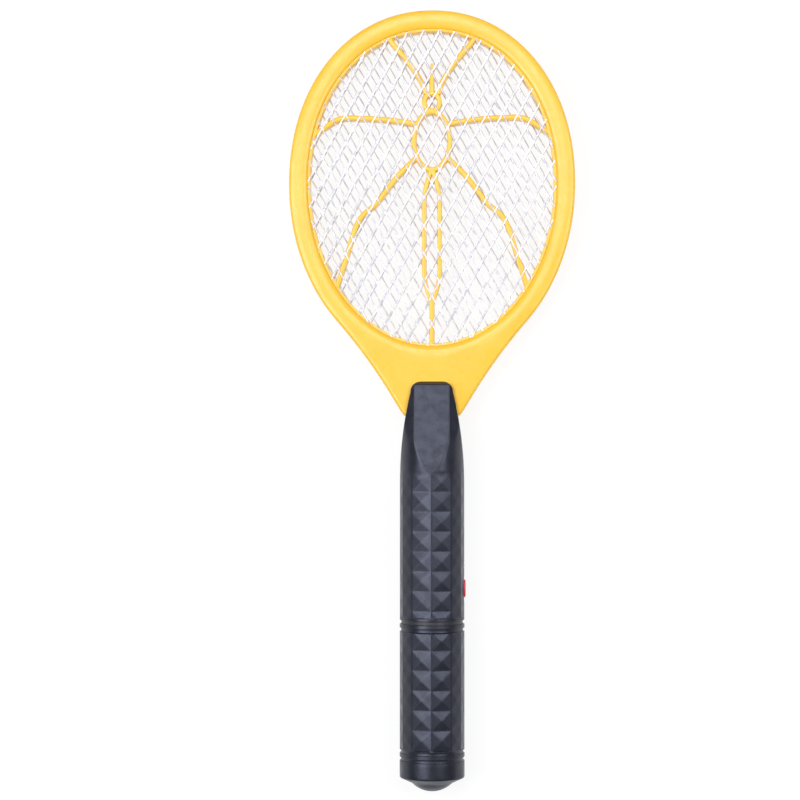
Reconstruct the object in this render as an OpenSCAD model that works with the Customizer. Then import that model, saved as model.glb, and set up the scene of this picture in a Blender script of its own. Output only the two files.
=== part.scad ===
// Electric fly swatter: an oval racket head with three live grids on a battery handle.
// It lies flat with the striking face up. +Y runs from the butt to the head, +Z comes out of
// the front face and +X is the side that the button is on. All lengths are in millimetres.
// Inside the modules y is counted from the butt's tip, with the handle's axis at x = z = 0.

/* [Handle] */
// Length of the handle, from the butt's tip to the end of its tongues
handle_len = 230.5; // [228:0.5:300]
// Outer radius of the handle and of the battery cover
handle_r = 18.3; // [17.8:0.1:22]
// Wall of the two handle shells
shell_wall = 2; // [1.6:0.1:2.4]
// Length over which the handle flattens into its tongues
facet_len = 52.5; // [48:0.5:60]
// Half height of the tongues at their end
tongue_half_h = 9.8; // [9:0.1:12]
// Half width of the tongues at their end, before the corners
tongue_half_w = 12; // [11:0.1:13]
// Radius of the tongues' end corners, seen from the front
tongue_corner = 6; // [3:0.5:9]
// Length of the frame's tang inside the handle
tang_len = 42.5; // [36:0.5:46]
// Half width of the tang
tang_half_w = 13; // [12.5:0.1:13.4]

/* [Battery cover] */
// Length of the sliding battery cover
cover_len = 94.3; // [93:0.1:98]
// Bore radius of the cover
cover_bore_r = 16.5; // [16.4:0.1:16.8]
// Height of the butt's dome and cone
butt_h = 8.1; // [6:0.1:10]
// Radius where the cone meets the dome
dome_r = 11.6; // [9:0.1:14]
// Height of the dome alone
dome_h = 5; // [3:0.1:6]
// Width of each decorative groove
groove_w = 2; // [1:0.1:2.4]
// Depth of each decorative groove
groove_d = 0.8; // [0.4:0.1:1]
// Width of the bead between two grooves
bead_w = 2.2; // [1.5:0.1:3]
// From the butt's tip to the first groove
butt_groove_y = 17.6; // [16:0.1:30]

/* [Head] */
// Greatest width of the head
head_w = 161.4; // [150:0.2:200]
// From the widest place to the top of the head
head_top = 98; // [90:0.5:120]
// Semi-axis of the outline below the widest place
head_low = 103.5; // [100:0.5:125]
// Fullness of the upper outline: 2 is an ellipse, more is squarer
head_power = 2.1; // [2:0.05:2.6]
// Width of the raised rim
rim_w = 9.4; // [8:0.1:12]
// Width of the ledge that the grids lie on
ledge_w = 2.6; // [2.4:0.1:4]
// Semi-axis of the opening below the widest place
open_low = 90; // [80:0.5:92]
// From the end of the tongues to the opening
neck_gap = 21.5; // [18:0.5:40]
// Height of the rim above the outer grids
rim_lip = 1.5; // [1:0.1:3]
// Width of the spider's ribs
rib_w = 2.8; // [2:0.1:4]

/* [Grids] */
// Space between the middle grid and each outer grid
grid_gap = 4.5; // [4.2:0.1:7]
// Thickness of each grid
grid_t = 0.5; // [0.4:0.1:0.5]
// How far each grid reaches over the ledge
grid_lap = 1.8; // [1.6:0.1:2]
// Width of the border round each grid
grid_border = 0.9; // [0.8:0.1:1.2]
// Short diagonal of a diamond, across the head
mesh_short = 8.85; // [7:0.05:12]
// Long diagonal of a diamond, along the head
mesh_long = 15.8; // [12:0.1:22]
// Width of a strand
strand_w = 0.9; // [0.7:0.1:1.4]

/* [Batteries] */
// Diameter of one AA cell
cell_d = 14.5; // [14:0.1:14.6]
// Length of one AA cell over its terminal
cell_len = 50.5; // [49.5:0.1:51]
// Height of the cell's positive terminal
nub_h = 1.3; // [1:0.1:1.6]
// Distance between the two cells' axes
cell_pitch = 15.8; // [15.7:0.1:15.9]
// Length of a battery spring with the cells in place
spring_len = 4; // [3.5:0.1:4.5]
// Wire radius of the battery springs
spring_wire_r = 0.35; // [0.3:0.05:0.45]

/* [Button and board] */
// Length of the push button along the handle
button_len = 10; // [8:0.5:12]
// Height of the push button round the handle
button_h = 6; // [5:0.5:7]
// How far the button stands out of the handle
button_proud = 0.7; // [0.3:0.1:1.5]
// Travel of the button
button_travel = 1.2; // [0.8:0.1:1.3]
// Length of the circuit board
board_len = 64; // [64:0.5:66]
// Width of the circuit board
board_w = 25; // [24.5:0.5:26]
// Thickness of the circuit board
board_t = 1.6; // [1:0.1:1.6]
// Top of the circuit board below the handle's axis
board_drop = 4; // [3.5:0.1:4.5]
// Radius of the insulated wires to the grids
grid_wire_r = 0.6; // [0.5:0.05:0.8]
// Radius of the insulated wires to the batteries
battery_wire_r = 0.7; // [0.5:0.05:0.8]
// Radius of the indicator lamp
lamp_r = 1.5; // [1.5:0.1:2]

/* [Screws] */
// Shaft radius of the frame screws
frame_screw_r = 1.2; // [1:0.05:1.4]
// Head radius of the frame screws
frame_head_r = 2.3; // [2:0.1:2.5]
// Shaft radius of the handle and neck screws
shell_screw_r = 1.3; // [1.1:0.05:1.5]
// Head radius of the handle and neck screws
shell_head_r = 2.6; // [2.3:0.1:2.7]

/* [Fits] */
// Radial clearance between the cover's bore and its guide ring
cover_fit = 0.08; // [0.04:0.01:0.1]
// Clearance round the push button and its flange
button_fit = 0.25; // [0.15:0.05:0.4]
// Radial clearance of the plunger in the switch
plunger_fit = 0.05; // [0.02:0.01:0.1]
// Clearance of a pressed-in or clamped piece
seat_fit = 0.1; // [0.05:0.05:0.2]
// Radial clearance of a screw in a hole that it passes through
screw_fit = 0.15; // [0.1:0.05:0.3]
// Radial clearance of a screw in the hole that it cuts its thread in
thread_fit = 0.02; // [0.01:0.01:0.05]
// Radial clearance of a cell in its bay
cell_fit = 0.2; // [0.15:0.05:0.3]

/* [Hidden] */

$fn = 64;
e = 1;

// Colours of the real materials.
yellow = [0.99, 0.80, 0.30];
black = [0.13, 0.13, 0.17];
steel = [0.80, 0.80, 0.82];
red = [0.86, 0.16, 0.20];

// Heights through the head. The two frame halves meet at z = 0, in the middle grid.
grid_z = grid_t / 2 + grid_gap;
frame_half_t = grid_z + grid_t + rim_lip;
neck_step = 0.5;
neck_half_t = frame_half_t - neck_step;

// Places along the handle and the head.
shoulder_len = 2;
shell_y0 = cover_len + shoulder_len;
tail_len = 9.7;
board_y0 = shell_y0 + tail_len + 1.5;
board_y1 = board_y0 + board_len;
button_y = board_y0 + 6.5;
lamp_y = button_y + 13;
tang_y0 = handle_len - tang_len;
neck_y0 = handle_len - 19.5;
neck_screw_y = handle_len - 27.5;
opening_y = handle_len + neck_gap;
head_y = opening_y + open_low;
total_length = head_y + head_top;

// Head outline.
neck_join_y = 76.8;
neck_half_w = 15;
head_a = head_w / 2;
open_a = head_a - rim_w - ledge_w;
open_top = head_top - rim_w - ledge_w;
arc_steps = 26;

// The upper half is a superellipse and the lower half an ellipse. A margin grows the shape.
function oval_point(a, top, low, power, t) =
    t >= 0
        ? [sign(cos(t)) * a * pow(abs(cos(t)), 2 / power), top * pow(sin(t), 2 / power)]
        : [a * cos(t), low * sin(t)];
function oval(a, top, low, power) = [
    for (i = [0:4 * arc_steps - 1])
        let (t = -180 + 360 * i / (4 * arc_steps)) oval_point(a, top, low, power, t)
];

// A cubic curve takes the outline from the oval down the neck to the handle.
join_t = asin(neck_join_y / head_low);
join_point = [head_a * cos(join_t), head_y - neck_join_y];
join_dir = [-head_a * sin(join_t), -head_low * cos(join_t)];
join_unit = join_dir / norm(join_dir);
neck_reach = (join_point[1] - neck_y0) * 0.8;
neck_end = [neck_half_w, neck_y0];
function neck_point(u) =
    pow(1 - u, 3) * join_point
    + 3 * pow(1 - u, 2) * u * (join_point + join_unit * neck_reach)
    + 3 * (1 - u) * u * u * (neck_end + [3.6, 1.7])
    + pow(u, 3) * neck_end;
neck_steps = 12;
right_side = concat(
    [for (i = [arc_steps:-1:0]) let (t = 90 * i / arc_steps)
        oval_point(head_a, head_top, head_low, head_power, t) + [0, head_y]],
    [for (i = [1:arc_steps - 1]) let (t = -join_t * i / arc_steps)
        oval_point(head_a, head_top, head_low, head_power, t) + [0, head_y]],
    [for (i = [0:neck_steps]) neck_point(i / neck_steps)],
    [[tang_half_w, neck_y0], [tang_half_w, tang_y0]]
);

module head_outline() {
    polygon(concat(
        right_side,
        [for (i = [len(right_side) - 1:-1:1]) [-right_side[i][0], right_side[i][1]]]
    ));
}

module opening_shape(margin) {
    translate([0, head_y])
        polygon(oval(open_a + margin, open_top + margin, open_low + margin, head_power));
}

// Eight screws stand round the rim on the middle line of its width.
screw_angles = [75, 35, -4, -40];
screw_inset = rim_w / 2;
screw_points = [
    for (side = [-1, 1], t = screw_angles)
        [side * (head_a - screw_inset) * cos(t),
         head_y + ((t > 0 ? head_top : head_low) - screw_inset) * sin(t)]
];

// The spider: half of its ribs, as points from the head's widest place, with the ring
// and the long body on the axis. The ribs run on under the ledge at their outer ends.
reach = ledge_w;
feeler = [[3.4, 51], [6.2, 58.5], [14, 70], [22.3, 79.8], [24.3, open_top * 0.965]];
upper_leg = [[9.4, 34.2], [26, 36.5], [39, 37.3], [52, 37], [open_a * 0.93, 30], [open_a * 0.955, 28.8]];
lower_leg = [[9.2, 14.6], [19.8, 3.9], [31, -10.5], [41.5, -21], [48.5, -42.2],
    [open_a * 0.785, -open_low * 0.66]];
tail_rib = [[0, 8.6], [3.6, -3], [4.3, -13], [4.3, -40], [4, -54], [0, -68]];
keel = [[0, -66], [0, -open_low - reach / 2]];
spike = [[-0.7, 68], [0.7, 68], [1.4, 61], [1.4, 50], [-1.4, 50], [-1.4, 61]];
eye_y = 46.3;
eye_a = 4.3;
eye_b = 4.9;
body_y = 24.5;
body_a = 10.1;
body_b = 16.4;

// A strip of even width along a line of points.
function strip_normal(p, i) =
    let (d = p[min(i + 1, len(p) - 1)] - p[max(i - 1, 0)]) [-d[1], d[0]] / norm(d);
module strip(p, w) {
    polygon(concat(
        [for (i = [0:len(p) - 1]) p[i] + strip_normal(p, i) * w / 2],
        [for (i = [len(p) - 1:-1:0]) p[i] - strip_normal(p, i) * w / 2]
    ));
}

module both_sides() {
    children();
    mirror([1, 0]) children();
}

module spider() {
    translate([0, head_y]) {
        both_sides() {
            strip(feeler, rib_w);
            strip(upper_leg, rib_w);
            strip(lower_leg, rib_w);
            strip(tail_rib, rib_w * 0.9);
        }
        strip(keel, rib_w);
        polygon(spike);
        difference() {
            translate([0, eye_y]) polygon(oval(eye_a + rib_w / 2, eye_b + rib_w / 2, eye_b + rib_w / 2, 2));
            translate([0, eye_y]) polygon(oval(eye_a - rib_w / 2, eye_b - rib_w / 2, eye_b - rib_w / 2, 2));
        }
        difference() {
            translate([0, body_y]) polygon(oval(body_a + rib_w / 2, body_b + rib_w / 2, body_b + rib_w / 2, 2));
            translate([0, body_y]) polygon(oval(body_a - rib_w / 2, body_b - rib_w / 2, body_b - rib_w / 2, 2));
        }
    }
}

// Solder flags: the folded tab of each grid that its wire is soldered to, and the wires' heights.
flag_w = 3;
flag_t = 0.5;
outer_flag_x = 5;
outer_flag_y = opening_y - grid_lap + 0.4;
outer_wire_z = 2.4;
outer_flag_low = outer_wire_z - 0.9;
centre_flag_y = opening_y - 8;
centre_flag_w = 5;
centre_wire_z = 1.5;
centre_flag_top = centre_wire_z + 1.1;
wire_slot_half_w = 7;
wire_slot_half_h = 3.3;
pocket_y0 = neck_y0 + 2.5;
pocket_y1 = opening_y - 6;
pocket_roof = 2;
screw_boss_r = 3.2;

// The front half of the head frame, for z above 0. flag_side says on which side the outer grid's
// solder flag comes through the ledge.
module half_frame(flag_side) {
    difference() {
        union() {
            difference() {
                linear_extrude(frame_half_t) head_outline();
                translate([0, 0, -e]) linear_extrude(frame_half_t + 2 * e) opening_shape(0);
                translate([0, 0, grid_z]) linear_extrude(frame_half_t) opening_shape(ledge_w);
                translate([0, 0, -e]) linear_extrude(e + grid_t / 2) opening_shape(grid_lap + seat_fit);
                rim_channel();
                tongue_seat();
                neck_pocket();
            }
            translate([0, 0, grid_t / 2]) linear_extrude(grid_gap) intersection() {
                spider();
                opening_shape(grid_lap);
            }
        }
        // Slot for the outer grid's flag and its wire, and the seat of the middle grid's tab.
        translate([flag_side * outer_flag_x - flag_w / 2 - 0.4, pocket_y1 - e, -e])
            cube([flag_w + 0.8, outer_flag_y + flag_t + 0.3 - pocket_y1 + e, e + 3.6]);
        translate([flag_side * outer_flag_x - flag_w / 2 - 0.4, outer_flag_y - 0.3, -e])
            cube([flag_w + 0.8, flag_t + 0.6, e + grid_z + e]);
        translate([-centre_flag_w / 2 - 0.3, centre_flag_y - 0.3, -e])
            cube([centre_flag_w + 0.6, opening_y - grid_lap + 0.6 - centre_flag_y, e + grid_t / 2]);
    }
}

// A hollow inside the rim, open to the parting plane, with a boss left round each screw.
module rim_channel() {
    wall = 2;
    inner_wall = ledge_w + 0.6;
    translate([0, 0, -e]) linear_extrude(e + grid_z) difference() {
        intersection() {
            translate([0, head_y]) difference() {
                polygon(oval(head_a - wall, head_top - wall, head_low - wall, head_power));
                polygon(oval(open_a + inner_wall, open_top + inner_wall, open_low + inner_wall, head_power));
            }
            translate([-head_w, head_y - 60]) square([2 * head_w, 60 + 2 * head_top]);
        }
        for (p = screw_points)
            translate(p) circle(r = screw_boss_r);
    }
}

// The lower step in the neck's face that the handle's tongue lies on.
module tongue_seat() {
    translate([0, 0, neck_half_t]) linear_extrude(e + neck_step) tongue_plan(-2 * seat_fit);
    translate([-tang_half_w - e, tang_y0 - e, neck_half_t])
        cube([2 * (tang_half_w + e), neck_y0 + e - tang_y0, neck_step + e]);
}

// The space inside the neck that the wires run through, and their way in through the tang.
module neck_pocket() {
    translate([0, 0, -e]) linear_extrude(e + neck_half_t - pocket_roof) polygon([
        [-9, pocket_y0], [9, pocket_y0], [24, pocket_y1], [-24, pocket_y1]
    ]);
    translate([-wire_slot_half_w, tang_y0 - e, -e])
        cube([2 * wire_slot_half_w, pocket_y0 + 2 * e - tang_y0, e + wire_slot_half_h]);
}

// Holes of the two neck screws through the tang.
neck_screw_x = 9.8;
module neck_holes(r) {
    for (side = [-1, 1])
        translate([side * neck_screw_x, neck_screw_y, -2 * handle_r]) cylinder(r = r, h = 4 * handle_r);
}

frame_screw_seat = 2.6;
frame_screw_depth = 5;
module front_frame() {
    color(yellow) difference() {
        half_frame(1);
        for (p = screw_points)
            translate([p[0], p[1], -e]) cylinder(r = frame_screw_r + thread_fit, h = e + frame_screw_depth + 0.2);
        neck_holes(shell_screw_r + screw_fit);
    }
}
module rear_frame() {
    color(yellow) difference() {
        mirror([0, 0, 1]) half_frame(-1);
        for (p = screw_points) {
            translate([p[0], p[1], -frame_half_t - e]) cylinder(r = frame_screw_r + screw_fit, h = frame_half_t + 2 * e);
            translate([p[0], p[1], -frame_half_t - e]) cylinder(r = frame_head_r + screw_fit, h = e + frame_screw_seat);
        }
        neck_holes(shell_screw_r + screw_fit);
    }
}

// Expanded metal: diamonds in staggered rows, with a plain border so that it stays in one piece.
mesh_p = mesh_short / 2;
mesh_q = mesh_long / 2;
mesh_inset = 1 - strand_w / 2 * norm([mesh_p, mesh_q]) / (mesh_p * mesh_q);
module diamonds(phase) {
    columns = ceil(open_a / mesh_short) + 1;
    rows = ceil(max(open_top, open_low) / mesh_long) + 1;
    for (half = [0, 0.5], i = [-columns:columns], j = [-rows:rows]) {
        c = [(i + half + phase[0]) * mesh_short, (j + half + phase[1]) * mesh_long];
        if (norm([c[0] / (open_a + mesh_p), c[1] / ((c[1] > 0 ? open_top : open_low) + mesh_q)]) < 1)
            translate([c[0], head_y + c[1]])
                polygon([for (d = [[mesh_p, 0], [0, mesh_q], [-mesh_p, 0], [0, -mesh_q]]) d * mesh_inset]);
    }
}
module grid_sheet(phase) {
    linear_extrude(grid_t) difference() {
        opening_shape(grid_lap);
        intersection() {
            opening_shape(grid_lap - grid_border);
            diamonds(phase);
        }
    }
}

// An outer grid with the flag folded towards the parting plane.
module outer_grid(flag_side) {
    translate([0, 0, grid_z]) grid_sheet([0, 0]);
    translate([flag_side * outer_flag_x - flag_w / 2, outer_flag_y, outer_flag_low])
        cube([flag_w, flag_t, grid_z + grid_t / 2 - outer_flag_low]);
}
module front_grid() {
    color(steel) outer_grid(1);
}
module rear_grid() {
    color(steel) mirror([0, 0, 1]) outer_grid(-1);
}
module centre_grid() {
    color(steel) {
        translate([0, 0, -grid_t / 2]) grid_sheet([0.25, 0.25]);
        translate([-centre_flag_w / 2, centre_flag_y, -grid_t / 2])
            cube([centre_flag_w, opening_y - grid_lap + 0.5 - centre_flag_y, grid_t]);
        translate([-centre_flag_w / 2, centre_flag_y, -grid_t / 2])
            cube([centre_flag_w, flag_t, grid_t / 2 + centre_flag_top]);
    }
}

// A pan head screw that points up, with its seat at z = 0 and a cross recess in the head.
module screw(shaft_r, shaft_len, head_r, head_h) {
    difference() {
        union() {
            cylinder(r = shaft_r, h = shaft_len);
            translate([0, 0, -head_h]) cylinder(r = head_r, h = head_h);
        }
        for (turn = [0, 90])
            rotate([0, 0, turn]) translate([-head_r * 0.6, -0.3, -head_h - e])
                cube([head_r * 1.2, 0.6, e + head_h * 0.5]);
    }
}
module frame_screws() {
    color(steel) for (p = screw_points)
        translate([p[0], p[1], frame_screw_seat - frame_half_t])
            screw(frame_screw_r, frame_half_t - frame_screw_seat + frame_screw_depth, frame_head_r, 1.8);
}

// The handle as a solid, seen from the front narrowing into the tongues and from the side
// sloping down to them. An inset shrinks it on every side.
plan_bow = 0.0019;
plan_bow_y = handle_len - 60;
side_slope = (handle_r - tongue_half_h) / facet_len;
corner_x = tongue_half_w - tongue_corner;
function plan_half_w(y) = handle_r - (y > plan_bow_y ? plan_bow * pow(y - plan_bow_y, 2) : 0);
module tongue_plan(inset) {
    corner_y = handle_len - tongue_corner;
    side = concat(
        [[plan_half_w(0) - inset, -e]],
        [for (y = [plan_bow_y:4:corner_y - 3]) [plan_half_w(y) - inset, y]],
        [for (t = [0:15:90]) [corner_x + (tongue_corner - inset) * cos(t), corner_y + (tongue_corner - inset) * sin(t)]]
    );
    polygon(concat(side, [for (i = [len(side) - 1:-1:0]) [-side[i][0], side[i][1]]]));
}
module handle_form(inset, y0, y1) {
    intersection() {
        translate([0, y0, 0]) rotate([-90, 0, 0]) cylinder(r = handle_r - inset, h = y1 - y0);
        translate([0, 0, -2 * handle_r]) linear_extrude(4 * handle_r) tongue_plan(inset);
        rotate([90, 0, 90]) translate([0, 0, -2 * handle_r]) linear_extrude(4 * handle_r) polygon([
            [-e, handle_r - inset], [handle_len - facet_len, handle_r - inset],
            [handle_len + e, tongue_half_h - e * side_slope - inset],
            [handle_len + e, inset + e * side_slope - tongue_half_h],
            [handle_len - facet_len, inset - handle_r], [-e, inset - handle_r]
        ]);
    }
}

// Screws that hold the two shells together: one behind the board and one through the carrier.
tail_screw_y = shell_y0 + tail_len / 2;
mid_screw_y = tang_y0 - 10.5;
shell_screw_ys = [tail_screw_y, mid_screw_y];
shell_screw_seat = -11;
shell_screw_top = 8.5;
shell_boss_r = 3.2;
neck_screw_seat = -10.2;
neck_screw_top = 10;
screw_head_h = 2;
bulkhead_t = 3;

// Posts and ribs that carry the circuit board.
board_top = -board_drop;
board_low = board_top - board_t;
board_screw_points = [[-9.5, board_y0 + 4], [9.5, board_y1 - 4]];
board_screw_r = 1;
board_boss_r = 2.6;
board_ribs = [board_y0 + 12.5, board_y1 - 14];
board_rib_t = 1.6;

// One shell as a half of the handle: the cavity, the seat of the tang and the side holes.
module shell_blank() {
    difference() {
        handle_form(0, shell_y0, handle_len + e);
        handle_form(shell_wall, shell_y0 - e, tang_y0 - bulkhead_t);
        // Seat of the tang, and the open sides that the neck leaves through.
        translate([-tang_half_w - seat_fit, tang_y0 - seat_fit, -neck_half_t])
            cube([2 * (tang_half_w + seat_fit), tang_len + 2 * e, 2 * neck_half_t]);
        translate([-2 * handle_r, neck_y0 - seat_fit, -neck_half_t])
            cube([4 * handle_r, 2 * tang_len, 2 * neck_half_t]);
        translate([-wire_slot_half_w, tang_y0 - bulkhead_t - e, -wire_slot_half_h])
            cube([2 * wire_slot_half_w, bulkhead_t + 2 * e, 2 * wire_slot_half_h]);
        button_window(button_fit);
        translate([0, lamp_y, 0]) rotate([0, 90, 0]) cylinder(r = lamp_r + seat_fit, h = 2 * handle_r);
    }
}
module button_window(margin) {
    straight = button_len - button_h;
    translate([0, button_y, 0]) rotate([0, 90, 0]) linear_extrude(2 * handle_r) {
        square([button_h + 2 * margin, straight], center = true);
        for (side = [-1, 1])
            translate([0, side * straight / 2]) circle(r = button_h / 2 + margin);
    }
}
module half_space(z0, z1) {
    translate([-2 * handle_r, -e, z0]) cube([4 * handle_r, total_length, z1 - z0]);
}
module shell_bosses() {
    for (y = shell_screw_ys)
        translate([0, y, -2 * handle_r]) cylinder(r = shell_boss_r, h = 4 * handle_r);
}
module front_shell() {
    color(black) difference() {
        union() {
            intersection() {
                shell_blank();
                half_space(0, 2 * handle_r);
            }
            intersection() {
                shell_bosses();
                handle_form(shell_wall / 2, shell_y0, tang_y0);
                half_space(0, 2 * handle_r);
            }
        }
        for (y = shell_screw_ys)
            translate([0, y, -e]) cylinder(r = shell_screw_r + thread_fit, h = e + shell_screw_top + 0.5);
        for (side = [-1, 1])
            translate([side * neck_screw_x, neck_screw_y, 0]) cylinder(r = shell_screw_r + thread_fit, h = neck_screw_top + 0.3);
    }
}
module rear_shell() {
    color(black) difference() {
        union() {
            intersection() {
                shell_blank();
                half_space(-2 * handle_r, 0);
            }
            intersection() {
                shell_bosses();
                handle_form(shell_wall / 2, shell_y0, tang_y0);
                half_space(-2 * handle_r, 0);
            }
            intersection() {
                union() {
                    for (p = board_screw_points)
                        translate([p[0], p[1], -2 * handle_r]) cylinder(r = board_boss_r, h = 2 * handle_r + board_low);
                    for (y = board_ribs)
                        translate([-board_w / 2, y - board_rib_t / 2, -2 * handle_r])
                            cube([board_w, board_rib_t, 2 * handle_r + board_low]);
                }
                handle_form(shell_wall / 2, shell_y0, tang_y0);
            }
        }
        for (y = shell_screw_ys) {
            translate([0, y, -2 * handle_r]) cylinder(r = shell_screw_r + screw_fit, h = 2 * handle_r + e);
            translate([0, y, -2 * handle_r]) cylinder(r = shell_head_r + screw_fit, h = 2 * handle_r + shell_screw_seat);
        }
        neck_holes(shell_screw_r + screw_fit);
        for (side = [-1, 1])
            translate([side * neck_screw_x, neck_screw_y, -2 * handle_r])
                cylinder(r = shell_head_r + screw_fit, h = 2 * handle_r + neck_screw_seat);
        for (p = board_screw_points)
            translate([p[0], p[1], board_low - 6.5]) cylinder(r = board_screw_r + thread_fit, h = 6.5 + e);
    }
}
module shell_screws() {
    color(steel) for (y = shell_screw_ys)
        translate([0, y, shell_screw_seat])
            screw(shell_screw_r, shell_screw_top - shell_screw_seat, shell_head_r, screw_head_h);
}
module neck_screws() {
    color(steel) for (side = [-1, 1])
        translate([side * neck_screw_x, neck_screw_y, neck_screw_seat])
            screw(shell_screw_r, neck_screw_top - neck_screw_seat, shell_head_r, screw_head_h);
}

// Battery end. The carrier's bay, from the bridge contact up to the two head-end contacts.
butt_wall = 3.9;
bay_wall = 1.8;
plate_t = 0.4;
carrier_gap = 1;
carrier_y0 = butt_h + butt_wall + carrier_gap;
bay_y0 = carrier_y0 + bay_wall;
bay_y1 = bay_y0 + plate_t + spring_len + cell_len + plate_t;
carrier_r = cover_bore_r - 0.3;
guide_len = 10;
bay_wall_top = 3;
bay_open_z = 4;
plate_w = 10;
plate_h = 9;
tab_w = 3;
tab_len = 6;
tail_r = handle_r - shell_wall - seat_fit / 2;
shoulder_r = handle_r - 1;
wire_tunnel_r = battery_wire_r + 0.5;

module along_y(y0, y1, r) {
    translate([0, y0, 0]) rotate([-90, 0, 0]) cylinder(r = r, h = y1 - y0);
}
module battery_carrier() {
    room_y0 = bay_y1 + bay_wall_top;
    room_y1 = cover_len - 4;
    color(black) difference() {
        union() {
            along_y(carrier_y0, cover_len, carrier_r);
            along_y(cover_len - guide_len, cover_len, cover_bore_r - cover_fit);
            along_y(cover_len, shell_y0, shoulder_r);
            along_y(shell_y0, shell_y0 + tail_len, tail_r);
        }
        for (side = [-1, 1]) {
            translate([side * cell_pitch / 2, 0, 0]) {
                along_y(bay_y0, bay_y1, cell_d / 2 + cell_fit);
                along_y(room_y1 - e, shell_y0 + tail_len + e, wire_tunnel_r);
                translate([-tab_w / 2 - seat_fit, bay_y1 - e, -plate_t / 2 - seat_fit])
                    cube([tab_w + 2 * seat_fit, bay_wall_top + 2 * e, plate_t + 2 * seat_fit]);
            }
        }
        // Open front of the bay, slot of the bridge contact, wiring room, and the shells' bosses.
        translate([-handle_r, bay_y0, bay_open_z]) cube([2 * handle_r, bay_y1 - bay_y0, handle_r]);
        translate([-cell_pitch / 2 - plate_w / 2, bay_y0, -plate_h / 2])
            cube([cell_pitch + plate_w, plate_t + seat_fit, handle_r]);
        if (room_y1 > room_y0)
            translate([-12, room_y0, -8]) cube([24, room_y1 - room_y0, 2 * handle_r]);
        translate([0, tail_screw_y, -handle_r]) cylinder(r = shell_boss_r + seat_fit, h = 2 * handle_r);
    }
}

// The sleeve over the carrier: a plain barrel with grooves near both ends, a cone and a dome.
module battery_cover() {
    open_groove_y = cover_len - bead_w - groove_w;
    second_groove_y = butt_groove_y + groove_w + bead_w;
    low_r = handle_r - groove_d;
    cap_r = (dome_r * dome_r + dome_h * dome_h) / (2 * dome_h);
    cap_angle = asin(dome_r / cap_r);
    color(black) rotate([90, 0, 0]) mirror([0, 0, 1]) rotate_extrude($fn = 128) polygon(concat(
        [for (i = [0:8]) let (t = i / 8 * cap_angle) [cap_r * sin(t), cap_r * (1 - cos(t))]],
        [[handle_r, butt_h],
         [handle_r, butt_groove_y], [low_r, butt_groove_y],
         [low_r, butt_groove_y + groove_w], [handle_r, butt_groove_y + groove_w],
         [handle_r, second_groove_y], [low_r, second_groove_y],
         [low_r, second_groove_y + groove_w], [handle_r, second_groove_y + groove_w],
         [handle_r, open_groove_y], [low_r, open_groove_y],
         [low_r, open_groove_y + groove_w], [handle_r, open_groove_y + groove_w],
         [handle_r, cover_len], [cover_bore_r, cover_len],
         [cover_bore_r, butt_h + butt_wall], [0, butt_h + butt_wall]]
    ));
}

// A cell with its flat end at y = 0 and its terminal towards +Y.
module cell() {
    along_y(0, cell_len - nub_h, cell_d / 2);
    along_y(cell_len - nub_h, cell_len, 2.7);
}
module battery_left() {
    color([0.20, 0.45, 0.70]) translate([-cell_pitch / 2, bay_y0 + plate_t + cell_len, 0])
        rotate([0, 0, 180]) cell();
}
module battery_right() {
    color([0.20, 0.45, 0.70]) translate([cell_pitch / 2, bay_y0 + plate_t + spring_len, 0]) cell();
}

// A round wire along a path. The reference direction must never lie along the path.
function unit(v) = v / norm(v);
module wire(path, r, sides, reference) {
    n = len(path);
    points = [
        for (i = [0:n - 1])
            let (
                t = unit(path[min(i + 1, n - 1)] - path[max(i - 1, 0)]),
                u = unit(cross(t, reference)),
                v = cross(t, u)
            )
            for (k = [0:sides - 1])
                let (a = 360 * k / sides) path[i] + r * (cos(a) * u + sin(a) * v)
    ];
    polyhedron(points, concat(
        [[for (k = [0:sides - 1]) k]],
        [[for (k = [sides - 1:-1:0]) (n - 1) * sides + k]],
        [for (i = [0:n - 2], k = [0:sides - 1]) let (k2 = (k + 1) % sides)
            [i * sides + k2, i * sides + k, (i + 1) * sides + k, (i + 1) * sides + k2]]
    ));
}

// A cone-shaped battery spring that rises from its plate along +Y.
spring_turns = 3;
spring_steps = 10;
spring_big_r = 4.4;
spring_small_r = 2.6;
module battery_spring() {
    n = spring_turns * spring_steps;
    rise = spring_len - spring_wire_r;
    wire([for (i = [0:n]) let (a = 360 * i / spring_steps, r = spring_big_r + (spring_small_r - spring_big_r) * i / n)
        [r * cos(a), min(rise, rise * i / (n - spring_steps * 0.75)), r * sin(a)]], spring_wire_r, 6, [0, 1, 0]);
}
module contact_plate() {
    translate([-plate_w / 2, 0, -plate_h / 2]) cube([plate_w, plate_t, plate_h]);
    translate([-tab_w / 2, 0, -plate_t / 2]) cube([tab_w, tab_len, plate_t]);
}
module flat_contact() {
    color(steel) translate([cell_pitch / 2, bay_y1 - plate_t, 0]) contact_plate();
}
module spring_contact() {
    color(steel) translate([-cell_pitch / 2, bay_y1 - plate_t, 0]) {
        contact_plate();
        mirror([0, 1, 0]) battery_spring();
    }
}
module bridge_contact() {
    color(steel) {
        translate([-cell_pitch / 2 - plate_w / 2 + 0.5, bay_y0, -plate_h / 2 + 0.5])
            cube([cell_pitch + plate_w - 1, plate_t, plate_h - 1]);
        translate([cell_pitch / 2, bay_y0 + plate_t, 0]) battery_spring();
    }
}

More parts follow.
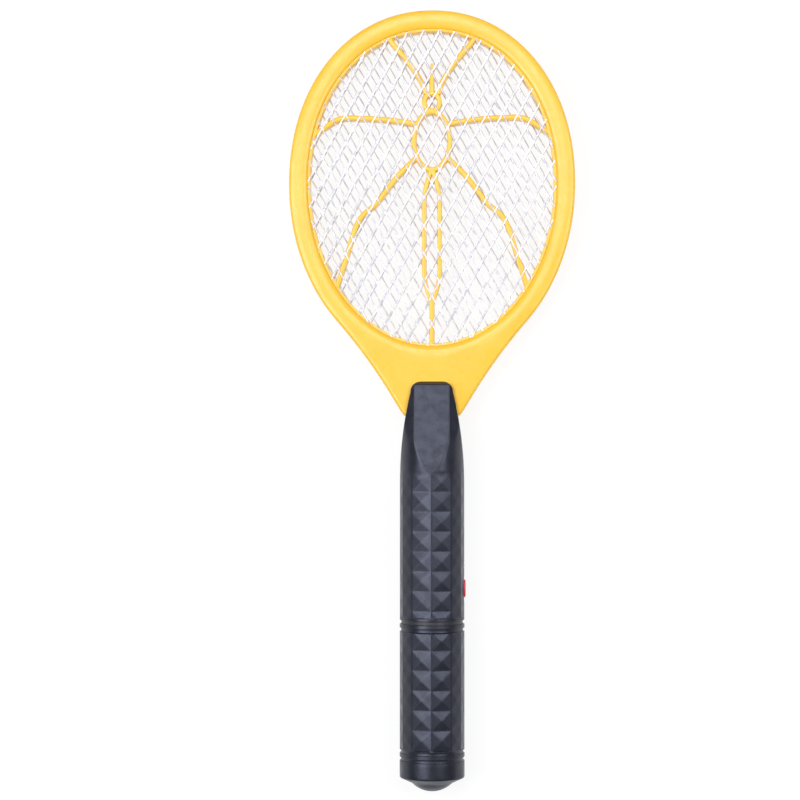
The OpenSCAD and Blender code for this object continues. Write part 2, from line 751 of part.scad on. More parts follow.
// Push button: a cap in the side window, a flange that keeps it in, and a stem to the switch.
flange_t = 1.2;
flange_x = sqrt(pow(handle_r - shell_wall, 2) - pow(button_h / 2 + 1.4, 2)) - button_fit;
stem_r = 2;
stem_x = flange_x - flange_t - 1.4;
module push_button() {
    straight = button_len - button_h;
    color(red) {
        intersection() {
            button_window(0);
            translate([flange_x - flange_t / 2, 0, -handle_r])
                cube([handle_r + button_proud - flange_x + flange_t / 2, total_length, 2 * handle_r]);
        }
        translate([flange_x - flange_t, button_y - button_len / 2 - 1.6, -button_h / 2 - 1.2])
            cube([flange_t, button_len + 3.2, button_h + 2.4]);
        translate([stem_x, button_y, 0]) rotate([0, 90, 0]) cylinder(r = stem_r, h = flange_x - flange_t / 2 - stem_x);
    }
}

// Push switch on the board's edge, its plunger in line with the button.
switch_face_x = stem_x - button_travel - 0.8;
switch_depth = 5;
switch_w = 6;
plunger_r = 1.75;
plunger_in = button_travel + 0.6;
module switch_plunger() {
    color([0.85, 0.85, 0.82]) translate([switch_face_x - plunger_in, button_y, 0]) rotate([0, 90, 0])
        cylinder(r = plunger_r, h = stem_x - switch_face_x + plunger_in);
}
module switch_body() {
    color([0.10, 0.10, 0.10]) difference() {
        translate([switch_face_x - switch_depth, button_y - switch_w / 2, board_top])
            cube([switch_depth, switch_w, board_drop + 3.5]);
        translate([switch_face_x - plunger_in - button_travel - 0.2, button_y, 0]) rotate([0, 90, 0])
            cylinder(r = plunger_r + plunger_fit, h = switch_depth);
    }
}

module circuit_board() {
    color([0.10, 0.42, 0.22]) difference() {
        translate([-board_w / 2, board_y0, board_low]) cube([board_w, board_len, board_t]);
        for (p = board_screw_points)
            translate([p[0], p[1], board_low - e]) cylinder(r = board_screw_r + screw_fit, h = board_t + 2 * e);
    }
}
module board_screws() {
    color(steel) for (p = board_screw_points)
        translate([p[0], p[1], board_top]) mirror([0, 0, 1])
            screw(board_screw_r, board_t + 5, 2, 1.4);
}

// Step-up transformer: a core of two E shapes on a bobbin, standing on the board.
core_w = 14;
core_t = 5;
core_h = 12;
core_leg = 4;
core_rail = 2.2;
core_z = board_top + 1.5;
transformer_y = board_y0 + 30;
bobbin_wall = 0.6;
winding_t = 2.1;
module transformer_core() {
    window_w = (core_w - core_leg - 2 * core_rail) / 2;
    color([0.22, 0.22, 0.24]) translate([0, transformer_y, core_z]) difference() {
        translate([-core_w / 2, -core_t / 2, 0]) cube([core_w, core_t, core_h]);
        for (side = [-1, 1])
            translate([side * (core_leg + window_w) / 2 - window_w / 2, -core_t, core_rail])
                cube([window_w, 2 * core_t, core_h - 2 * core_rail]);
    }
}
module leg_box(margin, z0, z1) {
    translate([-core_leg / 2 - margin, transformer_y - core_t / 2 - margin, core_z + z0])
        cube([core_leg + 2 * margin, core_t + 2 * margin, z1 - z0]);
}
module transformer_bobbin() {
    low = core_rail;
    high = core_h - core_rail;
    flange = bobbin_wall + winding_t;
    color([0.90, 0.88, 0.80]) {
        difference() {
            union() {
                leg_box(bobbin_wall, low, high);
                leg_box(flange, low, low + bobbin_wall);
                leg_box(flange, high - bobbin_wall, high);
            }
            leg_box(0, low - e, high + e);
        }
        for (side = [-1, 1])
            translate([-core_w / 2, transformer_y + side * (core_t / 2 + 1.6) - 1.6, board_top])
                cube([core_w, 3.2, 1.5]);
        for (side = [-1, 1])
            translate([-core_leg / 2, transformer_y + side * (core_t / 2 + flange / 2) - 0.6, board_top + 1])
                cube([core_leg, 1.2, core_z + low + bobbin_wall / 2 - board_top - 1]);
    }
}
module transformer_winding() {
    color([0.72, 0.38, 0.16]) difference() {
        leg_box(bobbin_wall + winding_t - 0.3, core_rail + bobbin_wall, core_h - core_rail - bobbin_wall);
        leg_box(bobbin_wall, core_rail, core_h - core_rail);
    }
}

// Transistor with three legs, its round back towards the butt.
transistor_x = -8.6;
transistor_y = board_y0 + 14;
module transistor() {
    color([0.08, 0.08, 0.08]) translate([transistor_x, transistor_y, board_top]) {
        translate([0, 0, 2]) intersection() {
            cylinder(r = 2.4, h = 4.8);
            translate([-3, -3, -e]) cube([6, 4.4, 8]);
        }
        for (i = [-1:1])
            translate([1.27 * i, 0, 0]) cylinder(r = 0.25, h = 2.5);
    }
}

// A part with a round body between two bent legs, lying across the handle over the board.
module axial_part(body_r, body_len, span, leg_r) {
    lift = body_r + 0.3;
    translate([-body_len / 2, 0, lift]) rotate([0, 90, 0]) cylinder(r = body_r, h = body_len);
    translate([-span / 2, 0, lift]) rotate([0, 90, 0]) cylinder(r = leg_r, h = span);
    for (side = [-1, 1])
        translate([side * (span / 2 - leg_r), 0, 0]) cylinder(r = leg_r, h = lift);
}
diode_ys = [board_y0 + 40, board_y0 + 44, board_y0 + 48];
resistor_ys = [board_y0 + 6, board_y0 + 10, board_y0 + 14];
module rectifier_diodes() {
    color([0.12, 0.12, 0.13]) for (y = diode_ys)
        translate([6.8, y, board_top]) axial_part(1.35, 5.2, 9, 0.35);
}
module resistors() {
    color([0.85, 0.75, 0.55]) for (y = resistor_ys)
        translate([-0.2, y, board_top]) axial_part(1.1, 4.4, 8, 0.3);
}
module doubler_capacitors() {
    color([0.70, 0.35, 0.15]) for (y = [diode_ys[0] + 1, diode_ys[0] + 7])
        translate([-10.4, y - 2, board_top]) cube([9, 4, 8]);
}
module output_capacitor() {
    color([0.55, 0.12, 0.10]) translate([-11, board_y1 - 10.5, board_top]) cube([14, 6, 10]);
}

// Indicator lamp, flush in the side of the handle, on two bent legs.
lamp_back_x = handle_r - 6;
lamp_leg_r = 0.25;
lamp_leg_x = board_w / 2 - 1.55;
module indicator_lamp() {
    color([0.90, 0.10, 0.10]) translate([0, lamp_y, 0]) {
        intersection() {
            union() {
                translate([lamp_back_x, 0, 0]) rotate([0, 90, 0]) cylinder(r = lamp_r, h = handle_r - lamp_back_x - lamp_r);
                translate([handle_r - lamp_r, 0, 0]) sphere(r = lamp_r);
            }
            translate([0, -handle_r, -handle_r]) cube([handle_r, 2 * handle_r, 2 * handle_r]);
        }
        translate([lamp_back_x, 0, 0]) rotate([0, 90, 0]) cylinder(r = lamp_r + 0.4, h = 1);
        for (side = [-1, 1]) {
            translate([lamp_leg_x - lamp_leg_r, side * 0.8, 0]) rotate([0, 90, 0])
                cylinder(r = lamp_leg_r, h = lamp_back_x + 0.4 - lamp_leg_x + lamp_leg_r);
            translate([lamp_leg_x, side * 0.8, board_top]) cylinder(r = lamp_leg_r, h = board_drop);
        }
    }
}

// Wires from the board to the three grids. They rise from the board, pass beside the shells'
// boss and run through the tang and the neck to the solder flags.
module front_grid_lead() {
    x = outer_flag_x;
    z = outer_wire_z;
    color([0.15, 0.15, 0.16]) wire([
        [x + 1, board_y1 - 11.3, board_top], [x + 1, board_y1 - 11.3, board_top + 1.5],
        [x + 0.9, board_y1 - 9.6, board_top + 4], [x + 0.6, board_y1 - 6, z - 0.4],
        [x, mid_screw_y - 4, z], [x, tang_y0, z], [x, pocket_y0 + 12, z], [x, outer_flag_y, z]
    ], grid_wire_r, 8, [1, 0, 0]);
}
module centre_grid_lead() {
    color([0.75, 0.10, 0.10]) wire([
        [4.6, board_y1 - 2.3, board_top], [4.6, board_y1 - 2.3, board_top + 1.2],
        [4.6, board_y1 - 0.6, -1.4], [4.7, mid_screw_y - 2, -0.9], [4.5, mid_screw_y + 3, -0.8],
        [3, tang_y0 - 1, 0], [0.6, tang_y0 + 7, 1.2], [0, tang_y0 + 12, centre_wire_z],
        [0, pocket_y0 + 10, centre_wire_z], [0, centre_flag_y, centre_wire_z]
    ], grid_wire_r, 8, [1, 0, 0]);
}
module rear_grid_lead() {
    x = -outer_flag_x;
    z = -outer_wire_z;
    color([0.15, 0.15, 0.16]) wire([
        [x, board_y1 - 2.3, board_top], [x, board_y1 - 2.3, board_top + 1],
        [x, board_y1 - 0.6, -1.9], [x, mid_screw_y + 2, -2], [x, tang_y0, z],
        [x, pocket_y0 + 12, z], [x, outer_flag_y, z]
    ], grid_wire_r, 8, [1, 0, 0]);
}

// Wires from the battery contacts to the board. The positive one passes behind the switch.
module battery_lead(side, x, y) {
    contact_x = side * cell_pitch / 2;
    wire([
        [contact_x, bay_y1 - plate_t + tab_len, 0], [contact_x, cover_len, 0],
        [contact_x, shell_y0 + tail_len, 0], [side * (x + 0.2), board_y0 + 2.2, 0.1],
        [side * x, y - 1.8, -0.6], [side * x, y, -2.2], [side * x, y, board_top]
    ], battery_wire_r, 8, [1, 0, 0]);
}
positive_lead_x = switch_face_x - switch_depth - battery_wire_r - 0.5;
module positive_lead() {
    color([0.75, 0.10, 0.10]) battery_lead(1, positive_lead_x, board_y0 + 7.8);
}
module negative_lead() {
    color([0.10, 0.10, 0.12]) battery_lead(-1, 5.6, board_y0 + 7.8);
}

// The origin is under the middle of the part, on the surface that it lies on.
module placed() {
    translate([0, -total_length / 2, handle_r]) children();
}

placed() front_frame();
placed() rear_frame();
placed() front_grid();
placed() centre_grid();
placed() rear_grid();
placed() frame_screws();
placed() front_shell();
placed() rear_shell();
placed() shell_screws();
placed() neck_screws();
placed() battery_carrier();
placed() battery_cover();
placed() battery_left();
placed() battery_right();
placed() spring_contact();
placed() flat_contact();
placed() bridge_contact();
placed() push_button();
placed() switch_plunger();
placed() switch_body();
placed() circuit_board();
placed() board_screws();
placed() transformer_core();
placed() transformer_bobbin();
placed() transformer_winding();
placed() transistor();
placed() rectifier_diodes();
placed() doubler_capacitors();
placed() output_capacitor();
placed() resistors();
placed() indicator_lamp();
placed() front_grid_lead();
placed() centre_grid_lead();
placed() rear_grid_lead();
placed() positive_lead();
placed() negative_lead();
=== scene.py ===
import math

import bpy
import numpy as np
from mathutils import Matrix, Vector


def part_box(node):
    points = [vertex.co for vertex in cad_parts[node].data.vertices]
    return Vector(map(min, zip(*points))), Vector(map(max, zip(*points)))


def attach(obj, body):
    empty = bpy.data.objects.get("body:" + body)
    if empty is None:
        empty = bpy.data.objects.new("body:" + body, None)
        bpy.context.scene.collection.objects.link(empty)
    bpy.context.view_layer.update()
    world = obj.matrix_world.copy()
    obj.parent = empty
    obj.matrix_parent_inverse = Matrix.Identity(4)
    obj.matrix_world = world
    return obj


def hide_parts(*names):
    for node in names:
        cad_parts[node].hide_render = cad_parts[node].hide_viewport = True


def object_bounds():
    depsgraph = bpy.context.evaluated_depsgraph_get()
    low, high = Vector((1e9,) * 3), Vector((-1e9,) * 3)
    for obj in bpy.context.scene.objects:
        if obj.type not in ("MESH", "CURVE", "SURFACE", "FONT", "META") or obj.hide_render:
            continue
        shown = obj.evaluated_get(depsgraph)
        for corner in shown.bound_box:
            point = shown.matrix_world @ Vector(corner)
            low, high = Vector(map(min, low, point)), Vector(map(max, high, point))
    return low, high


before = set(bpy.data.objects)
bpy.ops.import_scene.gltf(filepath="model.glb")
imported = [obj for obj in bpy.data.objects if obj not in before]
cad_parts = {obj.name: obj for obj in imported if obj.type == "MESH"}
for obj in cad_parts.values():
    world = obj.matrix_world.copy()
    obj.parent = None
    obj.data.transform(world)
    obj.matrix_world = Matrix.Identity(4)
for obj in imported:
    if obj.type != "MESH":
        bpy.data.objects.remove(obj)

cad_low, cad_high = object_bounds()

# Camera. It looks down on the racket as it lies on its back, a little from the side of the button,
# with the head at the top.
cover_low, cover_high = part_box("battery_cover")
BUTT_Y = cad_low.y * 1000
AXIS_Z = (cover_low.z + cover_high.z) * 500
aim = Vector((-0.0181, 0.0002, AXIS_Z / 1000))
lean = Vector((math.tan(math.radians(2)), math.tan(math.radians(-1)), 1)).normalized()
across = Vector((0, 1, 0)).cross(lean).normalized()
upward = lean.cross(across)
camera_data = bpy.data.cameras.new("studio_camera")
camera_data.sensor_width = 36
CAMERA_AWAY, VIEW_WIDTH = 1.3, 0.452
camera_data.lens = camera_data.sensor_width / VIEW_WIDTH * CAMERA_AWAY
camera = bpy.data.objects.new("studio_camera", camera_data)
turned_to_aim = Matrix((across, upward, lean)).transposed().to_4x4()
camera.matrix_world = Matrix.Translation(aim + lean * CAMERA_AWAY) @ turned_to_aim
bpy.context.scene.collection.objects.link(camera)
bpy.context.scene.camera = camera


# Studio floor and light. A white table under three broad soft lamps in a dim white room.
# A finish is a Principled shader. Its readings are sockets that take part in ordinary sums.
def paint(red, green, blue):
    """A colour given as 0 to 255 on a screen, as the linear colour that a shader takes."""
    c = np.array([red, green, blue]) / 255
    return (*np.where(c <= 0.04045, c / 12.92, ((c + 0.055) / 1.055) ** 2.4).tolist(), 1.0)


class Reading:
    """One output of a finish's node. A sum on it adds a Math node."""
    def __init__(self, finish, socket):
        self.finish, self.socket = finish, socket

    def math(self, operation, *terms):
        return self.finish.node("Math", {"operation": operation}, dict(enumerate(terms)))

    def __add__(self, other):
        return self.math("ADD", self, other)

    def __sub__(self, other):
        return self.math("SUBTRACT", self, other)

    def __rsub__(self, other):
        return self.math("SUBTRACT", other, self)

    def __mul__(self, other):
        return self.math("MULTIPLY", self, other)

    def __truediv__(self, other):
        return self.math("DIVIDE", self, other)

    def __pow__(self, other):
        return self.math("POWER", self, other)

    __radd__, __rmul__ = __add__, __mul__

    def rise(self, low, high):
        """0 below low and 1 above high, with a soft step between."""
        return self.finish.node("MapRange", {"interpolation_type": "SMOOTHSTEP"}, {0: self, 1: low, 2: high})


class Finish:
    """A material round one Principled shader, whose constants are given by name."""
    def __init__(self, name, **constants):
        self.material = bpy.data.materials.new(name)
        self.material.use_nodes = True
        self.tree = self.material.node_tree
        self.shader = self.tree.nodes["Principled BSDF"]
        for socket, value in constants.items():
            self.shader.inputs[socket.replace("_", " ")].default_value = value

    def node(self, kind, settings, inputs, output=0):
        new = self.tree.nodes.new("ShaderNode" + kind)
        for key, value in settings.items():
            setattr(new, key, value)
        for key, value in inputs.items():
            self.feed(new.inputs[key], value)
        return Reading(self, new.outputs[output])

    def feed(self, socket, value):
        if isinstance(value, Reading):
            self.tree.links.new(value.socket, socket)
        else:
            socket.default_value = value

    def set(self, **readings):
        for socket, value in readings.items():
            self.feed(self.shader.inputs[socket.replace("_", " ")], value)
        return self

    def place(self, stretch=(1, 1, 1)):
        """Object coordinates in metres, stretched along each axis."""
        where = self.node("TexCoord", {}, {}, "Object")
        return self.node("Mapping", {}, {"Vector": where, "Scale": stretch})

    def noise(self, scale, detail=2.0, stretch=(1, 1, 1)):
        return self.node("TexNoise", {}, {"Vector": self.place(stretch), "Scale": scale, "Detail": detail})

    def mix(self, share, first, second):
        return self.node("Mix", {"data_type": "RGBA"}, {0: share, 6: first, 7: second}, 2)

    def bump(self, height, depth):
        """A normal from a height of 0 to 1 that stands for depth metres."""
        return self.node("Bump", {}, {"Height": height, "Distance": depth, "Strength": 1.0})


def moulded(name, light, dark, rough_low, rough_high, grain, **constants):
    """A moulded plastic: its colour drifts between two shades, its gloss changes in soft patches,
    and a fine grain of the given depth lies over it."""
    f = Finish(name, **constants)
    drift = f.noise(45, 3).rise(0.3, 0.7)
    speck = f.noise(900, 2)
    gloss = f.noise(170, 4).rise(0.35, 0.7)
    f.set(Base_Color=f.mix(drift * 0.75 + speck * 0.25, light, dark),
          Roughness=gloss * (rough_high - rough_low) + rough_low)
    f.set(Normal=f.bump(speck * 0.6 + f.noise(2600, 1) * 0.4, grain))
    return f.material


floor_finish = Finish("studio_floor", Roughness=0.9, Specular_IOR_Level=0.1,
                      Emission_Color=(1, 1, 1, 1), Emission_Strength=0.86)
floor_dark, floor_light = (0.15, 0.15, 0.155, 1), (0.17, 0.17, 0.175, 1)
floor_finish.set(Base_Color=floor_finish.mix(floor_finish.noise(3), floor_dark, floor_light))
floor_mesh = bpy.data.meshes.new("floor")
floor_mesh.from_pydata([(-4, -4, 0), (4, -4, 0), (4, 4, 0), (-4, 4, 0)], [], [(0, 1, 2, 3)])
floor_mesh.materials.append(floor_finish.material)
floor = bpy.data.objects.new("floor", floor_mesh)
bpy.context.scene.collection.objects.link(floor)
for name, spot, size, power in (("lamp_left", (-0.62, -0.02, 1.1), 0.75, 9.5),
                                ("lamp_head", (-0.02, 0.46, 1.35), 0.5, 4),
                                ("lamp_right", (0.7, 0.12, 1.05), 0.7, 6)):
    lamp_data = bpy.data.lights.new(name, "AREA")
    lamp_data.shape, lamp_data.size, lamp_data.energy = "SQUARE", size, power
    lamp = bpy.data.objects.new(name, lamp_data)
    lamp.location = spot
    lamp.rotation_euler = Vector(spot).to_track_quat("Z", "Y").to_euler()
    bpy.context.scene.collection.objects.link(lamp)
room = bpy.data.worlds.new("studio_room")
room.use_nodes = True
room_light = room.node_tree.nodes["Background"]
room_light.inputs["Color"].default_value = (1, 1, 1, 1)
room_light.inputs["Strength"].default_value = 0.2
bpy.context.scene.world = room
bpy.context.scene.view_settings.view_transform = "Standard"


# Head frame. Two halves of glossy yellow ABS, moulded with a raised rim, a ledge for the grids and
# the ribs of a spider, and screwed together from behind through eight bosses in the rim.
# Lengths are in millimetres from the handle's axis, with y from the butt's tip.
def place_mm(points):
    return (np.asarray(points, float).reshape(-1, 3) + (0, BUTT_Y, AXIS_Z)) / 1000


def lattice(rows, columns, close_rows=False, close_columns=False):
    """The quads between neighbouring points of a grid, which may run on from its last row or column
    to its first."""
    i = np.arange(rows if close_rows else rows - 1)[:, None]
    j = np.arange(columns if close_columns else columns - 1)[None, :]
    k, m = (i + 1) % rows, (j + 1) % columns
    return np.stack([i * columns + j, i * columns + m, k * columns + m, k * columns + j], -1).reshape(-1, 4)


def closed(points, *faces):
    """One closed form as (points, list of face arrays), turned so that its faces point outwards.
    The sign of the volume, summed over the faces as corner . (edge x edge), tells which way they point."""
    p = np.asarray(points, float).reshape(-1, 3)
    c = p - p.mean(0)
    volume = 0.0
    for f in faces:
        for k in range(1, f.shape[1] - 1):
            volume += np.einsum("ij,ij->i", c[f[:, 0]], np.cross(c[f[:, k]], c[f[:, k + 1]])).sum()
    return p, [f if volume > 0 else f[:, ::-1] for f in faces]


def tube_of(rings, close_rows=False):
    """A closed form from rings of points, (rows, columns, 3), each ring closed on itself. Open ends are
    closed with a point in the middle of the end ring."""
    rows, columns = rings.shape[:2]
    points, quads = rings.reshape(-1, 3), lattice(rows, columns, close_rows, True)
    if close_rows:
        return closed(points, quads)
    j = np.arange(columns)
    m = (j + 1) % columns
    n = rows * columns
    ends = np.concatenate([np.stack([np.full(columns, n), m, j], -1),
                           np.stack([np.full(columns, n + 1), n - columns + j, n - columns + m], -1)])
    return closed(np.concatenate([points, [rings[0].mean(0), rings[-1].mean(0)]]), quads, ends)


def mesh_of(name, forms):
    """A mesh from closed forms in millimetres, put in its place in metres."""
    mesh = bpy.data.meshes.new(name)
    points = place_mm(np.concatenate([p for p, _ in forms]))
    start = np.cumsum([0] + [len(p) for p, _ in forms])
    faces = [f + start[i] for i, (_, fs) in enumerate(forms) for f in fs]
    corners = np.concatenate([f.ravel() for f in faces]).astype(np.int32)
    sizes = np.concatenate([np.full(len(f), f.shape[1]) for f in faces])
    mesh.vertices.add(len(points))
    mesh.vertices.foreach_set("co", points.ravel())
    mesh.loops.add(len(corners))
    mesh.loops.foreach_set("vertex_index", corners)
    mesh.polygons.add(len(sizes))
    mesh.polygons.foreach_set("loop_start", (np.cumsum(sizes) - sizes).astype(np.int32))
    mesh.update(calc_edges=True)
    return mesh


def carved(mesh, cuts, keep=()):
    """The mesh less each mesh in cuts, and only what lies inside each mesh in keep."""
    whole = bpy.data.objects.new("blank", mesh)
    tools = [bpy.data.objects.new("tool", m) for m in (*cuts, *keep)]
    for o in (whole, *tools):
        bpy.context.scene.collection.objects.link(o)
    for i, tool in enumerate(tools):
        cut = whole.modifiers.new("cut", "BOOLEAN")
        cut.solver, cut.object = "MANIFOLD", tool
        cut.operation = "DIFFERENCE" if i < len(cuts) else "INTERSECT"
    done = bpy.data.meshes.new_from_object(whole.evaluated_get(bpy.context.evaluated_depsgraph_get()))
    for o in (whole, *tools):
        bpy.data.meshes.remove(o.data)
    return done


def fit(name, mesh, finish, body, replaces=(), crease=30):
    mesh.name = name
    mesh.materials.clear()
    mesh.materials.append(finish)
    mesh.shade_smooth()
    mesh.set_sharp_from_angle(angle=math.radians(crease))
    piece = bpy.data.objects.new(name, mesh)
    bpy.context.scene.collection.objects.link(piece)
    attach(piece, body)
    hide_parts(*replaces)
    return piece


HANDLE_LEN, HEAD_Y = 230.5, 342.0
HEAD_A, HEAD_TOP, HEAD_LOW, FULLNESS = 80.7, 98.0, 103.5, 2.1
JOIN_Y, NECK_X, NECK_Y, NECK_REACH, NECK_PULL = 76.8, 15.0, 211.0, 0.8, (3.6, 1.7)
OPEN_A, OPEN_TOP, OPEN_LOW = 68.7, 86.0, 90.0
RIM_T, LEDGE_Z, LEDGE_W, SLOPE_W, EDGE_R = 6.75, 4.75, 2.6, 2.3, 2.0


def oval_radius(angle, margin):
    """The opening's radius at an angle round the head's middle: a superellipse above, an ellipse below."""
    top = np.sin(angle) >= 0
    power = np.where(top, FULLNESS, 2.0)
    b = np.where(top, OPEN_TOP, OPEN_LOW) + margin
    a = OPEN_A + margin
    return ((np.abs(np.cos(angle)) / a) ** power + (np.abs(np.sin(angle)) / b) ** power) ** (-1 / power)


def even(path, count):
    """Points at even distances along a path of straight steps."""
    steps = np.r_[0, np.cumsum(np.linalg.norm(np.diff(path, axis=0), axis=1))]
    at = np.linspace(0, steps[-1], count)
    return np.stack([np.interp(at, steps, path[:, k]) for k in range(path.shape[1])], -1)


def head_outline(count):
    """Half the head's outline from its top down the right side: the oval, then a cubic curve down the neck
    that meets the oval on its tangent, then the tang inside the handle. The other half mirrors it."""
    t = np.radians(np.linspace(90, 0, 200))
    upper = np.stack([HEAD_A * np.cos(t).clip(0) ** (2 / FULLNESS),
                      HEAD_Y + HEAD_TOP * np.sin(t) ** (2 / FULLNESS)], -1)
    join = math.asin(JOIN_Y / HEAD_LOW)
    t = -np.linspace(0, join, 120)[1:]
    lower = np.stack([HEAD_A * np.cos(t), HEAD_Y + HEAD_LOW * np.sin(t)], -1)
    p0, p3 = lower[-1], np.array([NECK_X, NECK_Y])
    along = np.array([-HEAD_A * math.sin(join), -HEAD_LOW * math.cos(join)])
    p1, p2 = p0 + along / np.linalg.norm(along) * (p0[1] - NECK_Y) * NECK_REACH, p3 + NECK_PULL
    u = np.linspace(0, 1, 100)[1:, None]
    neck = (1 - u) ** 3 * p0 + 3 * (1 - u) ** 2 * u * p1 + 3 * (1 - u) * u ** 2 * p2 + u ** 3 * p3
    tang = [(13.6, 207), (13, 203), (13, 197), (12, 195), (0, 195)]
    half = even(np.concatenate([upper, lower, neck, tang]), count)
    return np.concatenate([half, half[-2:0:-1] * (-1, 1)])


def rim_form():
    """The rim and neck as one ring. Round the head runs the outline. Across it runs the section: up from the
    parting plane at the opening, over the ledge, up the flared inner slope, across the slightly crowned face,
    over the rounded edge and down the outside."""
    outer = head_outline(520)
    step = np.roll(outer, -1, 0) - np.roll(outer, 1, 0)
    inward = np.stack([step[:, 1], -step[:, 0]], -1) / np.linalg.norm(step, axis=1)[:, None]
    angle = np.arctan2(outer[:, 1] - HEAD_Y, outer[:, 0])
    centre = np.array([0, HEAD_Y])

    def inner(margin):
        return centre + oval_radius(angle, margin)[:, None] * np.stack([np.cos(angle), np.sin(angle)], -1)

    arc = np.radians(np.linspace(0, 90, 7))
    foot, foot_z = 1.5, 5.3
    section = [(inner(m), z) for m, z in ((0.15, 0.02), (0, 0.2), (0, 4.4), (0.1, 4.65), (0.35, LEDGE_Z),
                                          (1.45, LEDGE_Z), (foot, foot_z))]
    section += [(inner(foot + m), foot_z + z)
                for m, z in ((0.3, 0.42), (0.8, 0.78), (1.4, 1.06), (2.1, 1.28), (2.8, 1.4))]
    lip, edge = inner(LEDGE_W + SLOPE_W), outer + inward * EDGE_R
    for t in np.linspace(0, 1, 12)[1:]:
        section.append((lip + (edge - lip) * t, RIM_T + 0.7 * t * (1 - t)))
    section += [(outer + inward * EDGE_R * (1 - math.sin(a)), RIM_T - EDGE_R * (1 - math.cos(a)))
                for a in arc[1:]]
    section += [(outer, 0.25), (outer + inward * 0.18, 0.02)]
    rings = np.stack([np.c_[xy, np.full(len(xy), z)] for xy, z in section], 1)
    return tube_of(rings, close_rows=True)


def flowing(points, per_step=8):
    """A smooth path through points: Catmull-Rom, whose tangent at a point is half the way between
    its neighbours."""
    p = np.asarray(points, float)
    p = np.concatenate([[2 * p[0] - p[1]], p, [2 * p[-1] - p[-2]]])
    a, b, c, d = p[:-3, None], p[1:-2, None], p[2:-1, None], p[3:, None]
    t = np.linspace(0, 1, per_step, endpoint=False)[None, :, None]
    path = 0.5 * (2 * b + (c - a) * t + (2 * a - 5 * b + 4 * c - d) * t ** 2 + (3 * b - a - 3 * c + d) * t ** 3)
    return np.concatenate([path.reshape(-1, p.shape[1]), p[-2:-1]])


RIB_W = 2.8
RIB_SECTION = np.array([(-1, 0.25), (-1, 3.9), (-0.93, 4.35), (-0.75, 4.6), (-0.45, 4.72), (0, LEDGE_Z),
                        (0.45, 4.72), (0.75, 4.6), (0.93, 4.35), (1, 3.9), (1, 0.25), (0, 0.2)])


def rib(path, width, ring=False):
    """A rib: a section with a rounded top, carried along a path on the head's plane."""
    p = np.asarray(path, float)
    step = np.roll(p, -1, 0) - np.roll(p, 1, 0) if ring else np.gradient(p, axis=0)
    side = np.stack([-step[:, 1], step[:, 0]], -1) / np.linalg.norm(step, axis=1)[:, None]
    xy = p[:, None] + side[:, None] * RIB_SECTION[None, :, :1] * np.reshape(width, (-1, 1, 1)) / 2 + (0, HEAD_Y)
    z = np.broadcast_to(RIB_SECTION[None, :, 1:], (len(p), len(RIB_SECTION), 1))
    return tube_of(np.concatenate([xy, z], -1), ring)


def spider_forms():
    """The ribs: feelers, two pairs of legs and the tail on both sides, the keel and spike on the axis,
    and the rings of the eye and the body."""
    half = [[(3.4, 51), (6.2, 58.5), (14, 70), (22.3, 79.8), (25, 84.5)],
            [(9.4, 34.2), (26, 36.5), (39, 37.3), (52, 37), (63.9, 30), (67, 28)],
            [(9.2, 14.6), (19.8, 3.9), (31, -10.5), (41.5, -21), (48.5, -42.2), (54.5, -61)],
            [(0.6, 7.6), (3.6, -3), (4.3, -13), (4.3, -40), (4, -54), (0, -68)]]
    forms = []
    for side in (-1, 1):
        forms += [rib(flowing(path) * (side, 1), width)
                  for path, width in zip(half, (RIB_W, RIB_W, RIB_W, 2.5))]
    spike = np.array([(0, 50.5), (0, 55), (0, 60), (0, 64), (0, 66.5), (0, 67.6), (0, 68)])
    spike_w = np.array([RIB_W, RIB_W, 2.7, 2.2, 1.7, 1.2, 0.5])
    forms += [rib(flowing([(0, -66), (0, -91.2)], 12), RIB_W), rib(spike, spike_w)]
    t = np.linspace(0, 2 * np.pi, 72, endpoint=False)
    for middle, across_r, along_r, width in ((24.5, 10.1, 16.4, RIB_W), (46.3, 4.3, 4.9, 2.7)):
        forms.append(rib(np.stack([across_r * np.cos(t), middle + along_r * np.sin(t)], -1), width, True))
    return forms


def drum(x, y, z0, z1, radius, sides=48):
    """An upright drum, for a hole."""
    t = np.linspace(0, 2 * np.pi, sides, endpoint=False)
    ring = np.stack([x + radius * np.cos(t), y + radius * np.sin(t), t * 0], -1)
    return tube_of(np.stack([ring + (0, 0, z0), ring + (0, 0, z1)]))


def flip_z(form):
    return closed(form[0] * (1, 1, -1), *form[1])


abs_yellow = moulded("yellow_abs", paint(255, 203, 66), paint(253, 196, 53), 0.26, 0.38, 0.00002,
                     Specular_IOR_Level=0.5, Coat_Weight=0.25, Coat_Roughness=0.12)
front_forms = [rim_form()] + spider_forms()
fit("head_frame_front", mesh_of("head_frame_front", front_forms), abs_yellow, "racket",
    ["front_frame"])
angles, RIM_MIDDLE = np.radians([75, 35, -4, -40]), 4.7
screw_x = (HEAD_A - RIM_MIDDLE) * np.cos(angles)
screw_y = HEAD_Y + (np.where(angles > 0, HEAD_TOP, HEAD_LOW) - RIM_MIDDLE) * np.sin(angles)
recess, bore = (-9, -4.15, 2.45), (-9, -1, 1.35)
holes = [drum(s * x, y, *hole) for x, y in zip(screw_x, screw_y) for s in (-1, 1) for hole in (recess, bore)]
rear_rim = mesh_of("rear_rim", [flip_z(front_forms[0])])
for i in (0, 1):
    rear_rim = carved(rear_rim, [mesh_of("bores", holes[i::2])])
rear_ribs = mesh_of("rear_ribs", [flip_z(f) for f in front_forms[1:]])
fit("head_frame_rear", rear_rim, abs_yellow, "racket", ["rear_frame"])
fit("head_ribs_rear", rear_ribs, abs_yellow, "racket")


